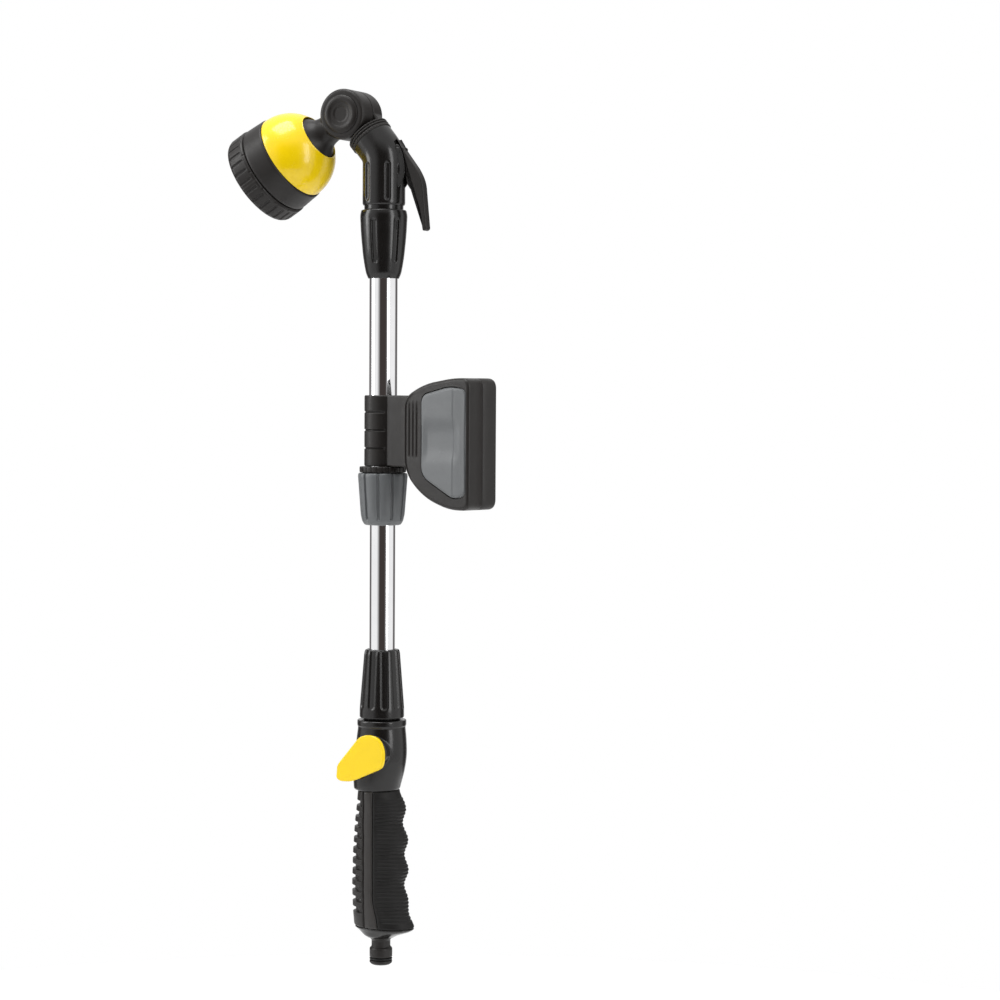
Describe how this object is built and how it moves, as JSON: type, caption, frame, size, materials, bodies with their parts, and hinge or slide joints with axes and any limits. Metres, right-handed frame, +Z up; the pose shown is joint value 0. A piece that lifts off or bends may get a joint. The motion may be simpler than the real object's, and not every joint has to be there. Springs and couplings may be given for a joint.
{
  "type": "telescopic watering wand with pole holder",
  "caption": "Telescopic watering wand with tilting rose head, rear trigger, flow lever and snap hose plug, clipped in a squeeze-release holder that slides on a pole.",
  "frame": {"origin": "on the axis of the holder's pole bore, halfway between the outer ends of its two bushes", "axes": "+Z up along the pole and the wand, with the spray head at the top; -X from the pole to the wand and on to the spray head; -Y towards the side of the near button"},
  "size_m": [0.2312, 0.0891, 0.6831],
  "materials": {
    "chrome_tube": "polished",
    "black_gloss": "gloss",
    "black_satin": "satin",
    "grip_rubber": "matt",
    "panel_charcoal": "satin",
    "yellow": "gloss",
    "grey": "satin",
    "seal_rubber": "matt",
    "steel": "plated",
    "white_nylon": "moulded",
    "face_grey": "satin"
  },
  "bodies": {
    "holder": {"holder_shell_near": "black_satin", "holder_shell_far": "black_satin", "shoe_guide": "white_nylon", "holder_clip": "black_satin", "pole_bushes": "white_nylon", "holder_screws": "steel", "brake_spring": "steel"},
    "button_near": {"button_near": "grey"},
    "button_far": {"button_far": "grey"},
    "brake": {"brake_shoe": "white_nylon", "brake_pad": "seal_rubber"},
    "upper": {"upper_tube": "chrome_tube", "clamp_sleeve": "black_satin", "collet_ring": "white_nylon", "neck_collar": "black_gloss", "neck_body": "black_gloss", "collar_seal": "seal_rubber", "union_ring": "black_gloss", "union_seal": "seal_rubber", "knuckle_housing": "black_satin", "pivot_seal": "seal_rubber", "pivot_screw": "steel", "trigger_pin": "steel", "gland_nut": "white_nylon", "valve_seat": "white_nylon", "plunger_spring": "steel"},
    "nut": {"clamp_nut": "grey"},
    "lower": {"lower_tube": "chrome_tube", "tube_piston": "white_nylon", "piston_seal": "seal_rubber", "handle_core": "black_gloss", "grip_rubber": "grip_rubber", "side_panel_near": "panel_charcoal", "side_panel_far": "panel_charcoal", "spine_insert": "black_satin", "grip_screws": "steel", "hose_plug": "black_satin", "plug_seal": "seal_rubber", "handle_collar": "black_gloss", "collar_washer": "white_nylon"},
    "flow": {"flow_lever": "yellow", "valve_spool": "white_nylon", "spool_seals": "seal_rubber", "lever_screw": "steel"},
    "trigger": {"trigger_lever": "black_satin"},
    "plunger": {"plunger": "white_nylon", "plunger_seal": "seal_rubber"},
    "head": {"head_elbow": "black_satin", "pivot_cap": "black_satin", "dome_shell": "yellow", "head_band": "black_satin", "head_seal": "seal_rubber", "centre_screw": "face_grey"},
    "dial": {"dial_ring": "black_satin", "spray_plate": "face_grey", "pattern_disc": "face_grey"}
  },
  "joints": [
    {"name": "clip_swivel", "type": "hinge", "parent": "holder", "child": "upper", "pos_m": [-0.0694, 0, 0.00775], "axis": [0, 0, 1], "range_deg": [-140, 110]},
    {"name": "telescope", "type": "slide", "parent": "upper", "child": "lower", "axis": [0, 0, 1], "range_m": [-0.075, 0.082]},
    {"name": "nut_twist", "type": "hinge", "parent": "upper", "child": "nut", "pos_m": [-0.0694, 0, -0.04525], "axis": [0, 0, 1], "range_deg": [0, 90]},
    {"name": "flow_lever", "type": "hinge", "parent": "lower", "child": "flow", "pos_m": [-0.06699, 0.00065, -0.24125], "axis": [-0.2588, 0.9659, 0], "range_deg": [0, 50]},
    {"name": "trigger", "type": "hinge", "parent": "upper", "child": "trigger", "pos_m": [-0.0553, 0.00378, 0.22395], "axis": [-0.2588, 0.9659, 0], "range_deg": [0, 10], "stiffness_Nm_per_rad": 0.6, "springref_deg": -17.19, "deforming": ["plunger_spring"]},
    {"name": "plunger_slide", "type": "slide", "parent": "upper", "child": "plunger", "axis": [-0.9659, -0.2588, 0], "range_m": [0, 0.0027]},
    {"name": "head_tilt", "type": "hinge", "parent": "upper", "child": "head", "pos_m": [-0.0976, -0.00756, 0.25315], "axis": [-0.2588, 0.9659, 0], "range_deg": [-33, 145]},
    {"name": "spray_dial", "type": "hinge", "parent": "head", "child": "dial", "pos_m": [-0.16255, -0.03013, 0.21195], "axis": [-0.828, -0.2219, -0.515], "range_deg": [-60, 60]},
    {"name": "button_near", "type": "slide", "parent": "holder", "child": "button_near", "axis": [0, 1, 0], "range_m": [0, 0.002], "stiffness_N_per_m": 1500, "springref_m": -0.003, "deforming": ["brake_spring"]},
    {"name": "button_far", "type": "slide", "parent": "holder", "child": "button_far", "axis": [0, -1, 0], "range_m": [0, 0.002]},
    {"name": "brake_slide", "type": "slide", "parent": "holder", "child": "brake", "axis": [1, 0, 0], "range_m": [0, 0.00125]}
  ],
  "couplings": [
    {"joint": "plunger_slide", "follows": "trigger", "m_per_rad": 0.0142},
    {"joint": "button_far", "follows": "button_near", "ratio": 1},
    {"joint": "brake_slide", "follows": "button_near", "ratio": 0.6}
  ]
}
